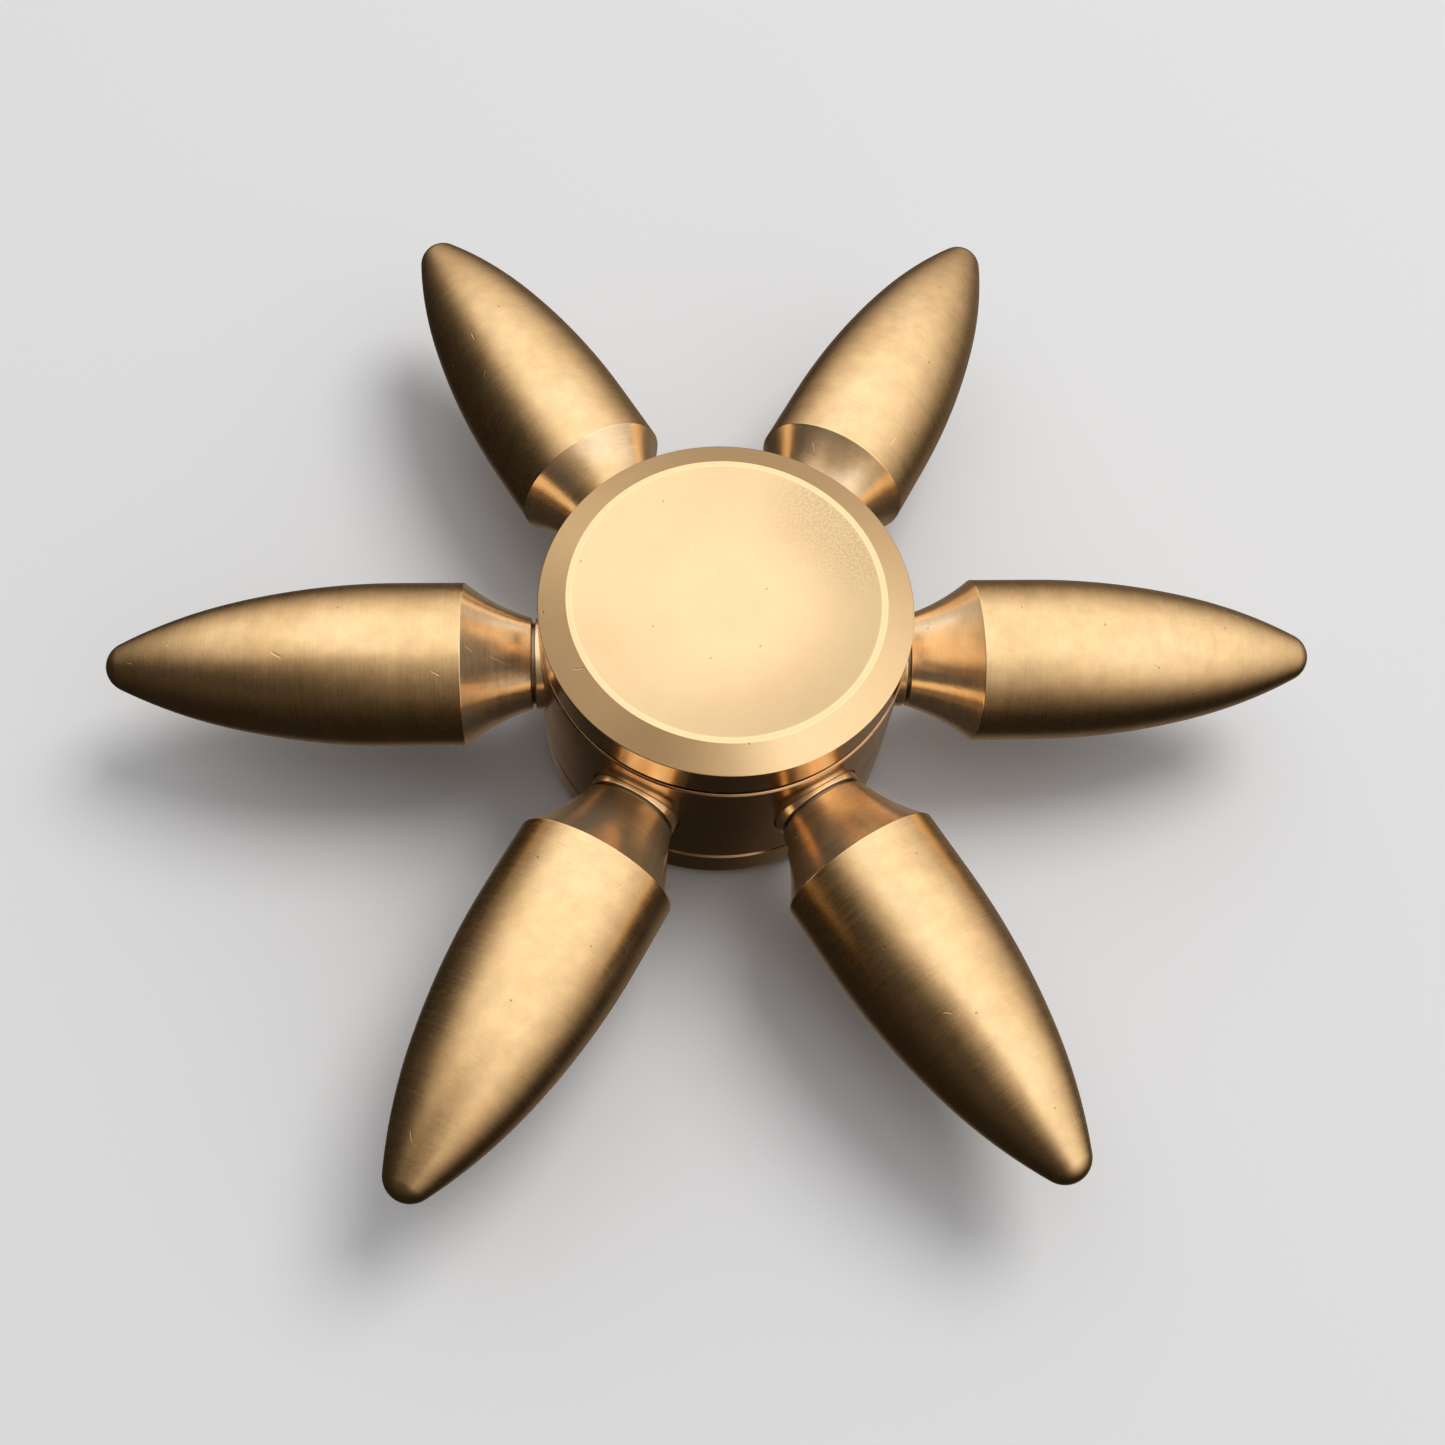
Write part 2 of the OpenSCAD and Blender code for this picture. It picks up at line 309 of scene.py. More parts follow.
def strokes(tree, turning, per_mm, round_the_work, detail):
    """Noise that changes fast along the work and slowly round it, as a tool or fine paper leaves it."""
    scale = (per_mm, round_the_work, round_the_work)
    drawn = add(tree, "ShaderNodeVectorMath", {0: turning, 1: scale}, operation="MULTIPLY").outputs[0]
    return add(tree, "ShaderNodeTexNoise", {"Vector": drawn, "Scale": 1.0, "Detail": detail}).outputs[0]


def along_surface(tree, facing, way):
    """The part of a direction that lies in the surface."""
    out = add(tree, "ShaderNodeVectorMath", {0: way, 1: facing}, operation="DOT_PRODUCT").outputs["Value"]
    out = add(tree, "ShaderNodeVectorMath", {0: facing, "Scale": out}, operation="SCALE").outputs[0]
    return add(tree, "ShaderNodeVectorMath", {0: way, 1: out}, operation="SUBTRACT").outputs[0]


def nicks(tree, place, facing, spacing, share, half_length, half_width):
    """Short straight marks in random directions, one in the middle of some cells of a random pattern."""
    cells = add(tree, "ShaderNodeTexVoronoi", {"Vector": place, "Scale": 1 / spacing}).outputs
    random_way = add(tree, "ShaderNodeVectorMath", {
        0: cells["Color"], 1: (0.5, 0.5, 0.5),
    }, operation="SUBTRACT").outputs[0]
    random_way = along_surface(tree, facing, random_way)
    random_way = add(tree, "ShaderNodeVectorMath", {0: random_way}, operation="NORMALIZE").outputs[0]
    away = add(tree, "ShaderNodeVectorMath", {0: place, 1: cells["Position"]}, operation="SUBTRACT")
    away = along_surface(tree, facing, away.outputs[0])
    along = add(tree, "ShaderNodeVectorMath", {0: away, 1: random_way}, operation="DOT_PRODUCT")
    along = along.outputs["Value"]
    on_line = add(tree, "ShaderNodeVectorMath", {0: random_way, "Scale": along}, operation="SCALE")
    across = add(tree, "ShaderNodeVectorMath", {0: away, 1: on_line.outputs[0]}, operation="DISTANCE")
    across = across.outputs["Value"]
    along = add(tree, "ShaderNodeMath", {0: along}, operation="ABSOLUTE").outputs[0]
    draw = add(tree, "ShaderNodeTexWhiteNoise", {"Vector": cells["Position"]}).outputs["Value"]
    mark = add(tree, "ShaderNodeMath", {0: draw, 1: share}, operation="LESS_THAN").outputs[0]
    # each mark is full in its core and fades out at its edge
    for limit in (
        step_down(tree, across, half_width * 0.3, half_width),
        step_down(tree, along, half_length * 0.4, half_length),
    ):
        mark = add(tree, "ShaderNodeMath", {0: mark, 1: limit}, operation="MULTIPLY").outputs[0]
    return mark


# marks that all the turned brass has: clouds and scuffs as a count per metre, single marks in metres
STAIN_SCALE = 210.0
SCUFF_SCALE = 1000.0
SPECK_SPACING = 0.0015
SPECK_HALF_LENGTH = 0.00009
SPECK_HALF_WIDTH = 0.00007
NICK_SPACING = 0.0031
NICK_HALF_LENGTH = 0.00036
NICK_HALF_WIDTH = 0.00005
HAIR_SPACING = 0.0066
HAIR_HALF_LENGTH = 0.0010
HAIR_HALF_WIDTH = 0.00003
HAIRS_PER_NICK = 0.12
DIG_DEPTH = 0.7e-5

# how much darker or lighter a mark makes the brass, and what it adds to the roughness
SPECK_SHADE = 0.6
RUBBED_SHADE = 1.1
# painted shade in the groove of the arms: the share of the brightness left there
GROOVE_PAINTED_SHADE = 0.3
STAIN_DULLS = 0.05
RUBBING_DULLS = -0.08


def turned_brass(
    name, tone, second_tone, deep, rough, second_rough, per_mm, mark_depth, contrast, wavy, specks, nicked,
    anisotropy, film=0.0, chatter=0.0,
):
    """Brass with turning marks round the work, a slight stain, specks, nicks and rubbed edges, plus painted
    shade where wear is below 0 and, with chatter, towards the edge of the dish.

    Points in zone 1 have the second tone and roughness, and any film of dust and polish lies on them.
    """
    material = bpy.data.materials.new(name)
    material.use_nodes = True
    tree = material.node_tree
    tree.nodes.clear()
    turning = add(tree, "ShaderNodeAttribute", attribute_name="turning").outputs["Vector"]
    wear_and_shade = add(tree, "ShaderNodeAttribute", attribute_name="wear_and_shade").outputs["Fac"]
    zone = add(tree, "ShaderNodeAttribute", attribute_name="zone").outputs["Fac"]
    coordinates = add(tree, "ShaderNodeTexCoord").outputs
    place, facing = coordinates["Object"], coordinates["Normal"]

    # turning marks: long fine lines, short strokes among them, and broad bands
    lines = strokes(tree, turning, per_mm, 0.9, 3.0)
    short = strokes(tree, turning, per_mm * 1.4, 9.0, 1.0)
    bands = strokes(tree, turning, per_mm * 0.15, 0.5, 2.0)
    marks = add(tree, "ShaderNodeMix", {"Factor": 0.45, "A": lines, "B": short}).outputs[0]
    marks = add(tree, "ShaderNodeMix", {"Factor": 0.2, "A": marks, "B": bands}).outputs[0]

    # stain from fingers: soft clouds a few millimetres across
    stain = add(tree, "ShaderNodeTexNoise", {
        "Vector": place, "Scale": STAIN_SCALE, "Detail": 4.0,
    }).outputs[0]
    stain = add(tree, "ShaderNodeMapRange", {
        "Value": stain, "From Min": 0.40, "From Max": 0.75,
    }, interpolation_type="SMOOTHSTEP").outputs[0]

    # scuffing from being handled, about a millimetre across
    scuffs = add(tree, "ShaderNodeTexNoise", {
        "Vector": place, "Scale": SCUFF_SCALE, "Detail": 3.0, "Roughness": 0.55,
    }).outputs[0]

    # specks, nicks and hair scratches from keys and table tops
    haired = nicked * HAIRS_PER_NICK
    speck = nicks(tree, place, facing, SPECK_SPACING, specks, SPECK_HALF_LENGTH, SPECK_HALF_WIDTH)
    nick = nicks(tree, place, facing, NICK_SPACING, nicked, NICK_HALF_LENGTH, NICK_HALF_WIDTH)
    hair = nicks(tree, place, facing, HAIR_SPACING, haired, HAIR_HALF_LENGTH, HAIR_HALF_WIDTH)
    scratch = add(tree, "ShaderNodeMath", {0: nick, 1: hair}, operation="MAXIMUM").outputs[0]

    # colour: darker under a stain or a speck, darker still with painted shade in the groove (wear below 0),
    # lighter where it is rubbed or scratched
    colour = add(tree, "ShaderNodeMix", {
        "Factor": zone, "A": (*tone, 1), "B": (*second_tone, 1),
    }, data_type="RGBA").outputs["Result"]
    colour = add(tree, "ShaderNodeMix", {
        "Factor": stain, "A": colour, "B": (*deep, 1),
    }, data_type="RGBA").outputs["Result"]
    worn = add(tree, "ShaderNodeMath", {0: wear_and_shade, 1: scratch}, operation="MAXIMUM").outputs[0]
    shade = stretched(tree, marks, 1 - contrast, 1 + contrast)
    scuffed = stretched(tree, scuffs, 1 - contrast, 1 + contrast)
    specked = add(tree, "ShaderNodeMapRange", {
        "Value": speck, "To Min": 1.0, "To Max": SPECK_SHADE,
    }).outputs[0]
    fresh = add(tree, "ShaderNodeMapRange", {
        "Value": worn, "To Min": 1.0, "To Max": RUBBED_SHADE,
    }).outputs[0]
    # painted shade: the groove, where wear is below 0, is made darker
    groove_shaded = add(tree, "ShaderNodeMapRange", {
        "Value": wear_and_shade, "From Min": -1.0, "From Max": 0.0, "To Min": GROOVE_PAINTED_SHADE, "To Max": 1.0,
    }).outputs[0]
    for factor in (scuffed, specked, fresh, groove_shaded):
        shade = add(tree, "ShaderNodeMath", {0: shade, 1: factor}, operation="MULTIPLY").outputs[0]

    # roughness
    finish = add(tree, "ShaderNodeMapRange", {
        "Value": zone, "To Min": rough, "To Max": second_rough,
    }).outputs[0]
    uneven = stretched(tree, marks, -contrast / 2, contrast / 2)
    smeared = add(tree, "ShaderNodeMath", {0: stain, 1: STAIN_DULLS}, operation="MULTIPLY").outputs[0]
    rubbed = add(tree, "ShaderNodeMath", {0: wear_and_shade, 1: RUBBING_DULLS}, operation="MULTIPLY").outputs[0]
    for change in (uneven, smeared, rubbed):
        finish = add(tree, "ShaderNodeMath", {0: finish, 1: change}, operation="ADD").outputs[0]

    # relief
    relief = add(tree, "ShaderNodeBump", {"Height": marks, "Strength": 1.0, "Distance": mark_depth})
    relief = add(tree, "ShaderNodeBump", {
        "Height": scuffs, "Strength": 1.0, "Distance": wavy, "Normal": relief.outputs[0],
    })
    dig = add(tree, "ShaderNodeMath", {0: speck, 1: scratch}, operation="MAXIMUM").outputs[0]
    relief = add(tree, "ShaderNodeBump", {
        "Height": dig, "Strength": 1.0, "Distance": DIG_DEPTH, "Normal": relief.outputs[0],
    }, invert=True).outputs[0]
    if chatter:
        ripple, coarse_and_shaded = tool_chatter(tree, place)
        relief = add(tree, "ShaderNodeBump", {
            "Height": ripple, "Strength": 1.0, "Distance": chatter, "Normal": relief,
        }).outputs[0]
        # painted shade: the coarser cut's mask darkens the dish towards its edge, most on one side
        for cut, darkest in ((coarse_and_shaded, DISH_EDGE_PAINTED_SHADE), (ripple, RIPPLE_SHADE)):
            factor = add(tree, "ShaderNodeMapRange", {
                "Value": cut, "To Min": 1.0, "To Max": darkest,
            }).outputs[0]
            shade = add(tree, "ShaderNodeMath", {0: shade, 1: factor}, operation="MULTIPLY").outputs[0]
        dulled = add(tree, "ShaderNodeMath", {0: coarse_and_shaded, 1: COARSE_DULLS}, operation="MULTIPLY").outputs[0]
        finish = add(tree, "ShaderNodeMath", {0: finish, 1: dulled}, operation="ADD").outputs[0]
    colour = add(tree, "ShaderNodeVectorMath", {0: colour, "Scale": shade}, operation="SCALE").outputs[0]

    # the film
    bare = add(tree, "ShaderNodeMapRange", {"Value": zone, "To Min": 1.0, "To Max": 1.0 - film}).outputs[0]
    round_the_work = add(tree, "ShaderNodeTangent", direction_type="UV_MAP", uv_map="UVMap").outputs[0]
    surface = add(tree, "ShaderNodeBsdfPrincipled", {
        "Base Color": colour, "Metallic": bare, "Roughness": finish, "Normal": relief,
        "Anisotropic": anisotropy, "Tangent": round_the_work,
    })
    add(tree, "ShaderNodeOutputMaterial", {"Surface": surface.outputs[0]})
    return material


arm_finish = turned_brass(
    "arm_satin_brass", tone=(0.88, 0.60, 0.30), second_tone=(0.95, 0.71, 0.44), deep=(0.80, 0.53, 0.25),
    rough=0.26, second_rough=0.20, per_mm=8.0, mark_depth=3.2e-6, contrast=0.08, wavy=5e-6,
    specks=0.05, nicked=0.26, anisotropy=0.35, film=0.09,
)


def flare_arc():
    """The hollow curve from the groove beside the collar up to the shoulder."""
    start, stop = Vector((COLLAR_R, FLARE_X)), Vector((ARM_R, SHOULDER_X))
    chord = stop - start
    lift = math.sqrt(FLARE_ARC ** 2 - (chord.length / 2) ** 2)
    across = Vector((chord.y, -chord.x)).normalized()
    centre = (start + stop) / 2 + across * lift
    first = math.atan2(start.y - centre.y, start.x - centre.x)
    final = math.atan2(stop.y - centre.y, stop.x - centre.x)
    return arc(centre, FLARE_ARC, first % math.tau, final % math.tau, 16)


def taper_arc():
    """The nose: a long arc that leaves the straight stretch level, a closer one, and the round tip."""
    half_way = Vector((math.cos(TIP_LEAN), math.sin(TIP_LEAN))) * (NOSE_ARC - TIP_R)
    across = ARM_R - NOSE_ARC + half_way.x
    along = TIP_X - TIP_R - TAPER_X - half_way.y
    lean = 2 * math.atan2(across, along)
    radius = NOSE_ARC + along / math.sin(lean)
    nose_centre = (-half_way.x, TIP_X - TIP_R - half_way.y)
    long_arc = arc((ARM_R - radius, TAPER_X), radius, 0, lean, 40)
    close_arc = arc(nose_centre, NOSE_ARC, lean, TIP_LEAN, 10)
    tip_arc = arc((0, TIP_X - TIP_R), TIP_R, TIP_LEAN, math.pi / 2, 12)
    return long_arc + close_arc[1:] + tip_arc[1:]


def in_groove(r, z):
    """Whether a point lies in the bottom of the groove or on its corners, where shade is painted."""
    return r < GROOVE_R + GROOVE_SHADE_HEIGHT and COLLAR_END_X - GROOVE_SHADE_OVERLAP < z < FLARE_X + GROOVE_SHADE_OVERLAP


flare = flare_arc()
arm_outline = rounded(
    [
        (0, STUD_X, 0), (STUD_R, STUD_X, 0.15), (STUD_R, COLLAR_X, 0.05),
        (COLLAR_R, COLLAR_X, 0.06), (COLLAR_R, COLLAR_END_X, 0.05),
        (GROOVE_R, COLLAR_END_X, 0.03), (GROOVE_R, FLARE_X, 0.03),
        (*flare[0][:2], 0.05), *flare[1:-1], (*flare[-1][:2], 0.07),
    ]
    + taper_arc()
)
# in the groove, wear is set to -1, which paints shade there
arm_outline = [(r, z, -1.0 if in_groove(r, z) else wear_and_shade) for r, z, wear_and_shade in arm_outline]
for k in range(6):
    name = f"bullet_arm_{k + 1}"
    bullet = turn(
        name + "_turned", arm_outline, ARM_STEPS, arm_finish, second_zone=lambda r, z: z < SHOULDER_X,
        lay_over=math.pi / 2, turn_to=math.tau * k / 6,
    )
    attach(bullet, "rotor")
    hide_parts(name)

# ---------------------------------------------------------------- hub ring
# A thick brass ring, turned and bored for the bearing, then drilled and tapped round its side for the
# six studs. Each hole starts in a flat-bottomed seat, which leaves a saddle-shaped edge on the round wall.
HUB_R = 10.4
HUB_HALF = 4.4
HUB_EDGE = 0.10
BEARING_R = 6.36
BEARING_HALF = 2.381
SHOULDER_R = 5.8
SEAT_R = 2.73
STUD_HOLE_R = 1.53
STUD_HOLE_X = 6.7
DRILL_OVERRUN = 1
DRILL_STEPS = 96
HUB_STEPS = 256
CREASE_ANGLE = math.radians(35)

hub_finish = turned_brass(
    "hub_bright_brass", tone=(0.84, 0.54, 0.28), second_tone=(0.84, 0.54, 0.28), deep=(0.66, 0.40, 0.19),
    rough=0.18, second_rough=0.18, per_mm=6.0, mark_depth=1.2e-6, contrast=0.05, wavy=4e-6,
    specks=0.25, nicked=0.2, anisotropy=0.3,
)
shoulder_z = -(HUB_HALF + BEARING_HALF) / 2
hub_outline = rounded([
    (SHOULDER_R, shoulder_z, 0), (SHOULDER_R, -HUB_HALF, 0.1),
    (HUB_R - HUB_EDGE, -HUB_HALF, 0.03), (HUB_R, HUB_EDGE - HUB_HALF, 0.03),
    (HUB_R, HUB_HALF - HUB_EDGE, 0.03), (HUB_R - HUB_EDGE, HUB_HALF, 0.03),
    (BEARING_R, HUB_HALF, 0.1), (BEARING_R, -BEARING_HALF, 0.02),
    (SHOULDER_R, -BEARING_HALF, 0.05), (SHOULDER_R, shoulder_z, 0),
])
hub = turn("hub_ring_turned", hub_outline, HUB_STEPS, hub_finish)
drill_outline = rounded([
    (0, STUD_HOLE_X, 0), (STUD_HOLE_R, STUD_HOLE_X, 0), (STUD_HOLE_R, COLLAR_X, 0),
    (SEAT_R, COLLAR_X, 0), (SEAT_R, HUB_R + DRILL_OVERRUN, 0), (0, HUB_R + DRILL_OVERRUN, 0),
], longest=5.0)
for k in range(6):
    drill = turn(
        "drill", drill_outline, DRILL_STEPS, hub_finish, lay_over=math.pi / 2, turn_to=math.tau * k / 6,
    )
    cut = hub.modifiers.new("cut", "BOOLEAN")
    cut.operation = "DIFFERENCE"
    cut.solver = "EXACT"
    cut.object = drill
    bpy.context.view_layer.update()
    graph = bpy.context.evaluated_depsgraph_get()
    drilled = bpy.data.meshes.new_from_object(hub.evaluated_get(graph))
    hub.modifiers.clear()
    hub.data = drilled
    bpy.data.objects.remove(drill)
hub.data.set_sharp_from_angle(angle=CREASE_ANGLE)
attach(hub, "rotor")
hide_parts("hub_ring")

# ---------------------------------------------------------------- finger caps
# Two turned brass caps, screwed together through the bearing: the upper one has the screw, the lower one
# the tapped hole. Each has a plain side wall, a wide sloping rim, a narrow flat lip and a shallow dish
# for a fingertip, faced with fine concentric turning marks.
CAP_R = 10.35
CAP_UNDER = 4.7
CAP_TOP = 7.7
CAP_EDGE = 0.15
RIM_Z = 6.9
LIP_R = 8.78
DISH_R = 8.5
DISH_DEPTH = 0.5
BOSS_R = 4.11
SPIGOT_R = 3.165
SPIGOT_END = 0.1
SCREW_R = 2.0
SCREW_END = -4.3
SCREW_HOLE_R = 2.03
SCREW_HOLE_END = -4.5
CAP_STEPS = 256
CHATTER_PITCH = 0.00014
CHATTER_TEETH = 55.0
CHATTER_AT = math.radians(33)
CHATTER_HALF_ANGLE = math.radians(45)
CHATTER_CORE_ANGLE = CHATTER_HALF_ANGLE * 0.3
CHATTER_FROM_R = DISH_R * 0.3
CHATTER_TO_R = DISH_R * 0.985
# painted shade towards the edge of the dish, where the cut is also coarser: the angle round the axis where
# it is strongest, the cosine at which it would be gone, how dark it gets and what it adds to the roughness
COARSE_AND_SHADED_AT = math.radians(-35)
COARSE_AND_SHADED_NONE_AT_COSINE = -1.2
DISH_EDGE_PAINTED_SHADE = 0.72
COARSE_DULLS = 0.06
RIPPLE_SHADE = 0.80


def tool_chatter(tree, place):
    """Ripples that the facing tool left on one side of the dish, and a mask for a coarser cut towards the
    edge, which also paints shade there, most on one side.
    """
    part = add(tree, "ShaderNodeSeparateXYZ", {0: place}).outputs
    angle = add(tree, "ShaderNodeMath", {0: part["Y"], 1: part["X"]}, operation="ARCTAN2").outputs[0]
    flat = add(tree, "ShaderNodeCombineXYZ", {"X": part["X"], "Y": part["Y"]}).outputs[0]
    radius = add(tree, "ShaderNodeVectorMath", {0: flat}, operation="LENGTH").outputs["Value"]
    in_dish = step_down(tree, radius, CHATTER_TO_R * MM, DISH_R * MM)
    outward = add(tree, "ShaderNodeMapRange", {
        "Value": radius, "From Min": CHATTER_FROM_R * MM, "From Max": DISH_R * MM,
    }, interpolation_type="SMOOTHSTEP").outputs[0]
    outward = add(tree, "ShaderNodeMath", {0: outward, 1: in_dish}, operation="MULTIPLY").outputs[0]

    rings = add(tree, "ShaderNodeMath", {0: radius, 1: 1 / CHATTER_PITCH}, operation="MULTIPLY").outputs[0]
    teeth = add(tree, "ShaderNodeMath", {0: angle, 1: CHATTER_TEETH}, operation="MULTIPLY").outputs[0]
    spread = add(tree, "ShaderNodeCombineXYZ", {"X": rings, "Y": teeth}).outputs[0]
    ripple = add(tree, "ShaderNodeTexNoise", {"Vector": spread, "Scale": 1.0, "Detail": 0.0}).outputs[0]
    ripple = stretched(tree, ripple, 0.0, 1.0)
    off_side = add(tree, "ShaderNodeMath", {0: angle, 1: CHATTER_AT}, operation="SUBTRACT").outputs[0]
    off_side = add(tree, "ShaderNodeMath", {0: off_side}, operation="ABSOLUTE").outputs[0]
    for limit in (step_down(tree, off_side, CHATTER_CORE_ANGLE, CHATTER_HALF_ANGLE), outward):
        ripple = add(tree, "ShaderNodeMath", {0: ripple, 1: limit}, operation="MULTIPLY").outputs[0]

    # painted shade and a coarser cut, strongest at one angle and growing towards the edge of the dish
    off_coarse_and_shaded = add(tree, "ShaderNodeMath", {0: angle, 1: COARSE_AND_SHADED_AT}, operation="SUBTRACT").outputs[0]
    coarse_and_shaded = add(tree, "ShaderNodeMath", {0: off_coarse_and_shaded}, operation="COSINE").outputs[0]
    coarse_and_shaded = add(tree, "ShaderNodeMapRange", {
        "Value": coarse_and_shaded, "From Min": COARSE_AND_SHADED_NONE_AT_COSINE,
    }).outputs[0]
    coarse_and_shaded = add(tree, "ShaderNodeMath", {0: coarse_and_shaded, 1: outward}, operation="MULTIPLY").outputs[0]
    return ripple, coarse_and_shaded


cap_finish = turned_brass(
    "cap_fine_brass", tone=(0.89, 0.62, 0.325), second_tone=(0.88, 0.59, 0.30), deep=(0.88, 0.60, 0.31),
    rough=0.26, second_rough=0.16, per_mm=8.0, mark_depth=2.5e-7, contrast=0.012, wavy=1.5e-6,
    specks=0.05, nicked=0.05, anisotropy=0.25, chatter=3e-6,
)
dish_ball = (DISH_R ** 2 + DISH_DEPTH ** 2) / (2 * DISH_DEPTH)
dish_lean = math.asin(DISH_R / dish_ball)
dish_centre_z = CAP_TOP - DISH_DEPTH + dish_ball
dish = arc((0, dish_centre_z), dish_ball, dish_lean - math.pi / 2, -math.pi / 2, 40)
disc_side = [
    (CAP_R - CAP_EDGE, CAP_UNDER, 0.04), (CAP_R, CAP_UNDER + CAP_EDGE, 0.04),
    (CAP_R, RIM_Z, 0.06), (LIP_R, CAP_TOP, 0.05), (DISH_R, CAP_TOP, 0.05),
]
boss = [
    (SPIGOT_R, SPIGOT_END, 0.1), (SPIGOT_R, BEARING_HALF, 0.03),
    (BOSS_R, BEARING_HALF, 0.08), (BOSS_R, CAP_UNDER, 0.05),
]
upper_outline = rounded(
    [(0, SCREW_END, 0), (SCREW_R, SCREW_END, 0.3), (SCREW_R, SPIGOT_END, 0.05)]
    + boss + disc_side + dish[1:]
)
lower_side = [(r, -z, rounding) for r, z, rounding in reversed(boss + disc_side + dish[1:])]
lower_outline = rounded(lower_side + [
    (SCREW_HOLE_R, -SPIGOT_END, 0.1), (SCREW_HOLE_R, SCREW_HOLE_END, 0.05), (0, SCREW_HOLE_END, 0),
])
for name, outline in (("top_cap", upper_outline), ("bottom_cap", lower_outline)):
    cap = turn(
        name + "_turned", outline, CAP_STEPS, cap_finish, second_zone=lambda r, z: abs(z) < RIM_Z,
    )
    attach(cap, "finger_caps")
    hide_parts(name)

# ---------------------------------------------------------------- ball bearing
# A shielded ball bearing pressed into the hub: two ground rings, ten polished balls in a snap-in cage,
# two stamped shields and the split rings that hold them. All of it is hidden once the caps are on.
CLOUD_SHADE = 0.82


def bearing_steel(name, tone, roughness, mark_scale, mark_depth):
    """Steel with fine marks and slight clouding, in the part's own coordinates."""
    material = bpy.data.materials.new(name)
    material.use_nodes = True
    tree = material.node_tree
    tree.nodes.clear()
    place = add(tree, "ShaderNodeTexCoord").outputs["Object"]
    squeezed = add(tree, "ShaderNodeMapping", {"Vector": place, "Scale": mark_scale}).outputs[0]
    marks = add(tree, "ShaderNodeTexNoise", {"Vector": squeezed, "Scale": 1.0, "Detail": 3.0}).outputs[0]
    clouds = add(tree, "ShaderNodeTexNoise", {"Vector": place, "Scale": 500.0, "Detail": 3.0}).outputs[0]
    darker = tuple(channel * CLOUD_SHADE for channel in tone)
    colour = add(tree, "ShaderNodeMix", {
        "Factor": clouds, "A": (*tone, 1), "B": (*darker, 1),
    }, data_type="RGBA").outputs["Result"]
    rough = stretched(tree, marks, roughness * 0.8, roughness * 1.25)
    relief = add(tree, "ShaderNodeBump", {
        "Height": marks, "Strength": 1.0, "Distance": mark_depth,
    }).outputs[0]
    surface = add(tree, "ShaderNodeBsdfPrincipled", {
        "Base Color": colour, "Metallic": 1.0, "Roughness": rough, "Normal": relief,
    })
    add(tree, "ShaderNodeOutputMaterial", {"Surface": surface.outputs[0]})
    return material


steels = {
    "ring_steel": bearing_steel("ground_steel", (0.62, 0.63, 0.65), 0.22, (900, 900, 6000), 1e-6),
    "ball_steel": bearing_steel("polished_steel", (0.72, 0.73, 0.75), 0.07, (1500, 1500, 1500), 2e-7),
    "cage_steel": bearing_steel("pressed_steel", (0.50, 0.50, 0.52), 0.38, (2500, 2500, 2500), 1.5e-6),
    "shield_steel": bearing_steel("stamped_steel", (0.56, 0.57, 0.59), 0.32, (3500, 300, 3500), 1e-6),
    "snap_ring_steel": bearing_steel("spring_steel", (0.40, 0.41, 0.43), 0.30, (3000, 3000, 300), 1e-6),
}
for row in frame["record"]["subparts"]:
    if row["material_slot"] in steels:
        for held in frame["nodes"][row["node"]].material_slots:
            held.material = steels[row["material_slot"]]

# ---------------------------------------------------------------- table and light
# A plain pale table under one large soft light, high up behind and to the right. The brass mirrors a
# room that is bright overhead, darker on the left and towards the front, and darkest low down on the
# near left. It doesn't mirror the pale table: from below it only gets a faint sheen.
TABLE_SIDE = 3.0
TABLE_TONE = (0.50, 0.50, 0.50)
TABLE_ROUGHNESS = 0.6
TABLE_SHINE = 0.2
BACKDROP_TONE = (0.62, 0.62, 0.62)
ROOM_LEVEL = 0.017
ROOM_LIGHT = 1.33
ROOM_FLOOR_RISE = -0.56
ROOM_TOP_RISE = 0.95
DIM_TINT = (1.0, 0.81, 0.65)
BRIGHT_TINT = (0.97, 1.0, 1.05)
# each side of the room that differs: its direction, the cosines at which the change starts and is
# complete, and the share of the light that is left there
ROOM_SIDES = (
    ((-0.75, -0.59, -0.295), -0.28, 0.68, 0.055),
    ((-0.983, 0.154, -0.099), 0.58, 0.95, 0.20),
    ((-0.255, -0.643, 0.722), 0.82, 0.96, 0.52),
    ((0.02, 0.42, 0.905), 0.84, 0.995, 1.15),
)

# the sheen of the table top, which mostly the edges of the arms catch
SHEEN_TOWARD = (0.25, 0.40, -0.88)
SHEEN_EDGE = 0.66
SHEEN_CORE = 0.97
SHEEN_LEVEL = 0.14
LAMP_AT = (0.35, 0.30, 0.75)
LAMP_SIZE = 0.5
LAMP_WATTS = 6.0
LAMP_TONE = (1.0, 0.99, 0.97)

table_mesh = bpy.data.meshes.new("table")
side = TABLE_SIDE / 2
table_corners = [(-side, -side, 0), (side, -side, 0), (side, side, 0), (-side, side, 0)]
table_mesh.from_pydata(table_corners, [], [(0, 1, 2, 3)])
table = bpy.data.objects.new("table", table_mesh)
bpy.context.scene.collection.objects.link(table)
table.location.z = low.z
table.visible_glossy = False
table_finish = bpy.data.materials.new("table_finish")
table_finish.use_nodes = True
shader = table_finish.node_tree.nodes["Principled BSDF"]
shader.inputs["Base Color"].default_value = (*TABLE_TONE, 1)
shader.inputs["Roughness"].default_value = TABLE_ROUGHNESS
shader.inputs["Specular IOR Level"].default_value = TABLE_SHINE
table_mesh.materials.append(table_finish)

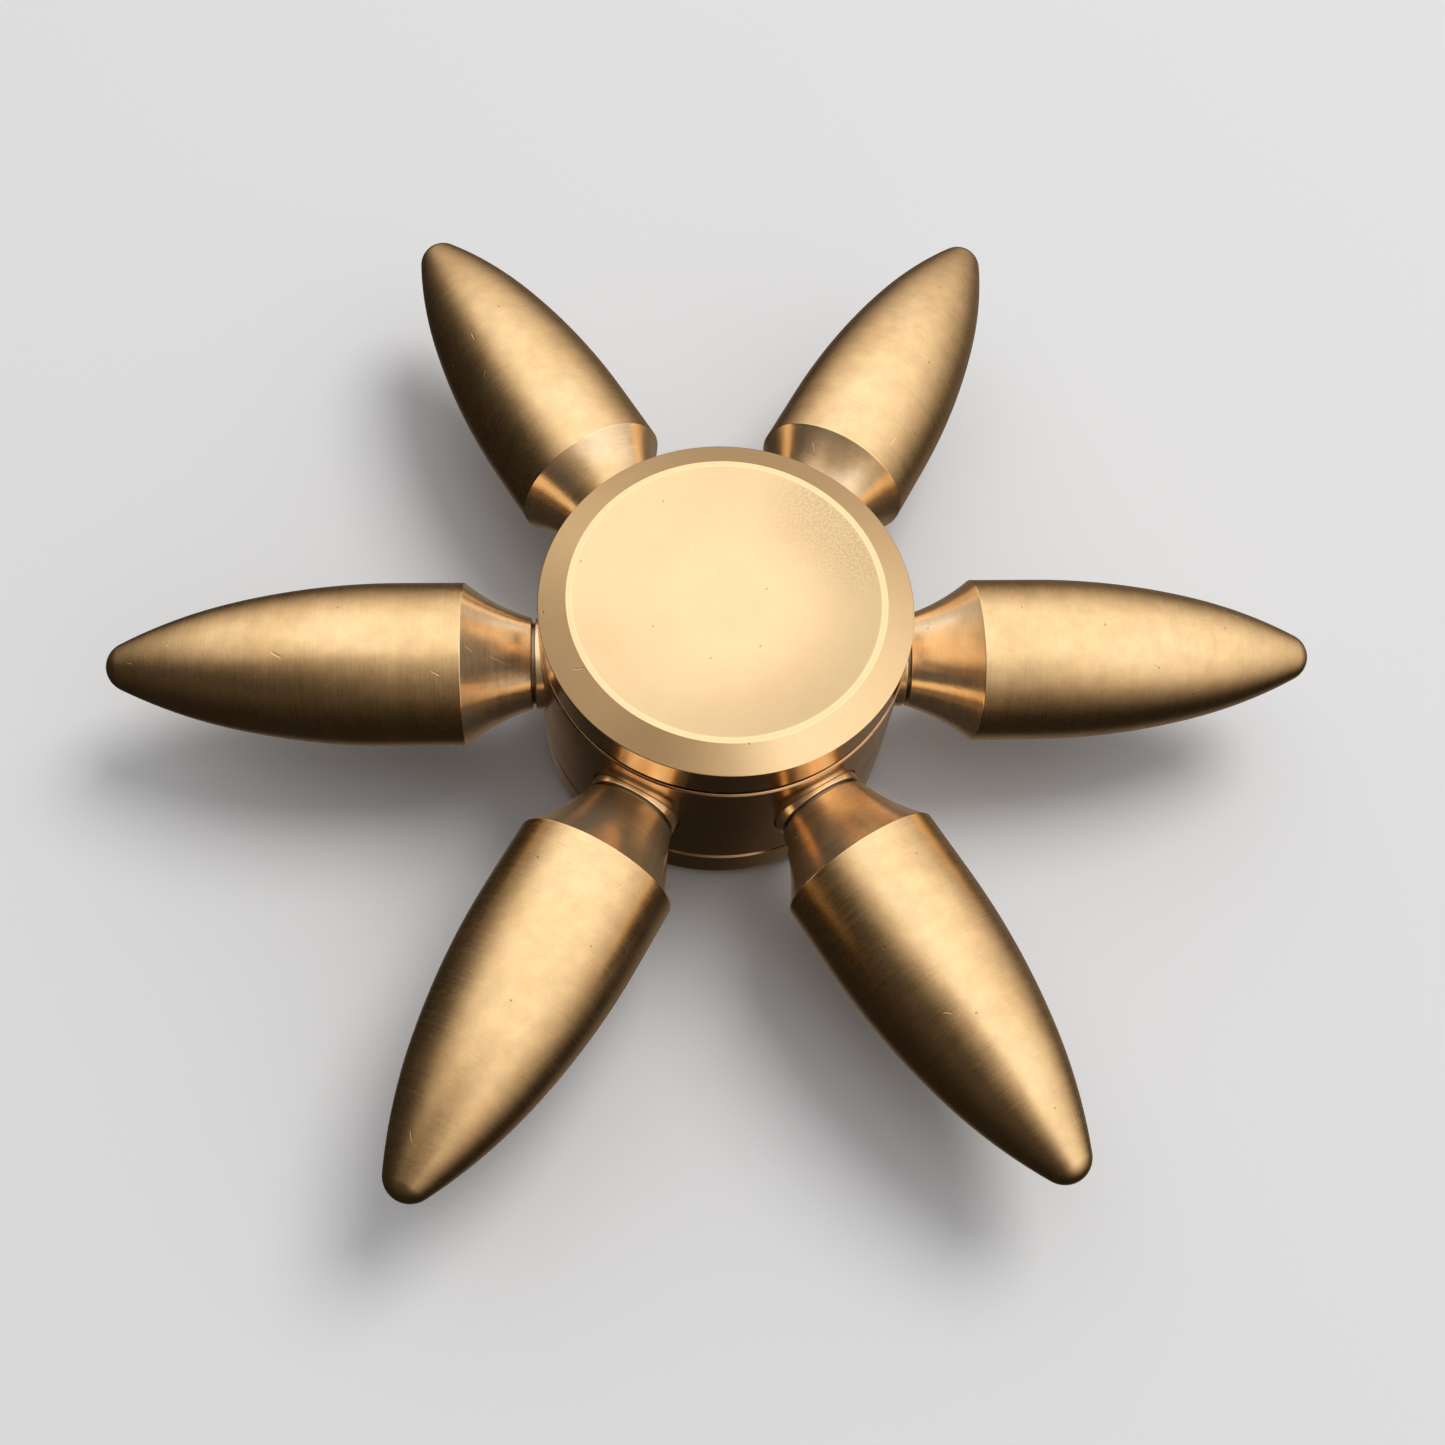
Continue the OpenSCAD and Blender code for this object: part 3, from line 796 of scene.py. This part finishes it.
world = bpy.data.worlds.new("room")
bpy.context.scene.world = world
world.use_nodes = True
tree = world.node_tree
tree.nodes.clear()
way = add(tree, "ShaderNodeTexCoord").outputs["Generated"]
rise = add(tree, "ShaderNodeSeparateXYZ", {0: way}).outputs["Z"]
glow = add(tree, "ShaderNodeMapRange", {
    "Value": rise, "From Min": ROOM_FLOOR_RISE, "From Max": ROOM_TOP_RISE,
}, interpolation_type="SMOOTHSTEP").outputs[0]
for toward, edge, core, share in ROOM_SIDES:
    cosine = add(tree, "ShaderNodeVectorMath", {0: way, 1: toward}, operation="DOT_PRODUCT")
    left = add(tree, "ShaderNodeMapRange", {
        "Value": cosine.outputs["Value"], "From Min": edge, "From Max": core, "To Min": 1.0, "To Max": share,
    }, interpolation_type="SMOOTHSTEP").outputs[0]
    glow = add(tree, "ShaderNodeMath", {0: glow, 1: left}, operation="MULTIPLY").outputs[0]
tint = add(tree, "ShaderNodeMix", {
    "Factor": glow, "A": (*DIM_TINT, 1), "B": (*BRIGHT_TINT, 1),
}, data_type="RGBA").outputs["Result"]
glow = add(tree, "ShaderNodeMapRange", {
    "Value": glow, "To Min": ROOM_LEVEL, "To Max": ROOM_LIGHT,
}).outputs[0]
cosine = add(tree, "ShaderNodeVectorMath", {0: way, 1: SHEEN_TOWARD}, operation="DOT_PRODUCT")
sheen = add(tree, "ShaderNodeMapRange", {
    "Value": cosine.outputs["Value"], "From Min": SHEEN_EDGE, "From Max": SHEEN_CORE, "To Max": SHEEN_LEVEL,
}, interpolation_type="SMOOTHSTEP").outputs[0]
glow = add(tree, "ShaderNodeMath", {0: glow, 1: sheen}, operation="ADD").outputs[0]
seen = add(tree, "ShaderNodeLightPath").outputs["Is Camera Ray"]
room = add(tree, "ShaderNodeBackground", {"Color": tint, "Strength": glow}).outputs[0]
backdrop = add(tree, "ShaderNodeBackground", {"Color": (*BACKDROP_TONE, 1), "Strength": 1.0}).outputs[0]
mixed = add(tree, "ShaderNodeMixShader", {0: seen, 1: room, 2: backdrop}).outputs[0]
add(tree, "ShaderNodeOutputWorld", {"Surface": mixed})

lamp_data = bpy.data.lights.new("soft_light", "AREA")
lamp_data.shape = "DISK"
lamp_data.size = LAMP_SIZE
lamp_data.energy = LAMP_WATTS
lamp_data.color = LAMP_TONE
lamp = bpy.data.objects.new("soft_light", lamp_data)
lamp_from = Vector(LAMP_AT)
lamp.matrix_world = Matrix.Translation(lamp_from) @ lamp_from.to_track_quat("Z", "Y").to_matrix().to_4x4()
lamp.visible_glossy = False
bpy.context.scene.collection.objects.link(lamp)
bpy.context.scene.view_settings.view_transform = "Standard"
